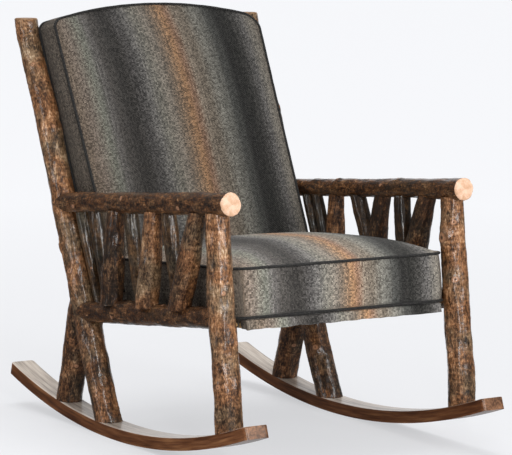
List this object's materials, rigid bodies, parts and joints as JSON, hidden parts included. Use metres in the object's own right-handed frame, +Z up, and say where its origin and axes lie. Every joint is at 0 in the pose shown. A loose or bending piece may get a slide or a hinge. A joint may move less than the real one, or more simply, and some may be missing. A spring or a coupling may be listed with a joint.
{
  "type": "rocking chair",
  "caption": "Rustic hickory rocking chair: bark-covered poles, slanted spindles under the arms, long curved rockers, loose boxed seat cushion and padded arched back in striped tweed.",
  "frame": {"origin": "on the floor, under the middle of the chair's bounding box", "axes": "+X to the sitter's left, -Y to the front that the seat faces, +Z up"},
  "size_m": [0.7266, 1.165, 1.0261],
  "materials": {
    "bark_wood": "hickory bark under satin lacquer, sawn ends pale",
    "rocker_wood": "stained brown, satin",
    "frame_wood": "bare planed wood",
    "striped_cloth": "coarse tweed in shaded stripes",
    "welt_cord": "dark piping cord",
    "foam": "open-cell foam",
    "webbing": "woven jute strap",
    "dust_cloth": "thin black cloth",
    "steel": "zinc plated",
    "zip": "dark metal zip"
  },
  "bodies": {
    "chair": {"arm_left": "bark_wood", "arm_right": "bark_wood", "back_board": "frame_wood", "back_cover": "striped_cloth", "back_foam": "foam", "back_panel": "striped_cloth", "back_post_left": "bark_wood", "back_post_right": "bark_wood", "back_screws": "steel", "back_welt_front": "welt_cord", "back_welt_rear": "welt_cord", "brace_leg_left": "bark_wood", "brace_leg_right": "bark_wood", "crest_rail": "bark_wood", "deck_cover": "striped_cloth", "deck_screws_left": "steel", "deck_screws_right": "steel", "dust_cover": "dust_cloth", "front_post_left": "bark_wood", "front_post_right": "bark_wood", "joint_pins_left": "steel", "joint_pins_right": "steel", "lumbar_rail": "bark_wood", "rear_seat_rail": "bark_wood", "rocker_left": "rocker_wood", "rocker_right": "rocker_wood", "rocker_screws_left": "steel", "rocker_screws_right": "steel", "seat_frame_dowels": "frame_wood", "seat_frame_front": "frame_wood", "seat_frame_left": "frame_wood", "seat_frame_rear": "frame_wood", "seat_frame_right": "frame_wood", "side_rail_left": "bark_wood", "side_rail_right": "bark_wood", "spindle_left_1": "bark_wood", "spindle_left_2": "bark_wood", "spindle_left_3": "bark_wood", "spindle_left_4": "bark_wood", "spindle_left_5": "bark_wood", "spindle_left_6": "bark_wood", "spindle_left_7": "bark_wood", "spindle_right_1": "bark_wood", "spindle_right_2": "bark_wood", "spindle_right_3": "bark_wood", "spindle_right_4": "bark_wood", "spindle_right_5": "bark_wood", "spindle_right_6": "bark_wood", "spindle_right_7": "bark_wood", "webbing_crosswise": "webbing", "webbing_lengthwise": "webbing"},
    "cushion": {"seat_cover": "striped_cloth", "seat_foam": "foam", "seat_welt_upper": "welt_cord", "seat_welt_lower": "welt_cord", "seat_zip": "zip"}
  },
  "joints": [
    {"name": "cushion_lift", "type": "slide", "parent": "chair", "child": "cushion", "axis": [0, 0.0698, 0.9976], "range_m": [0, 0.12]}
  ]
}
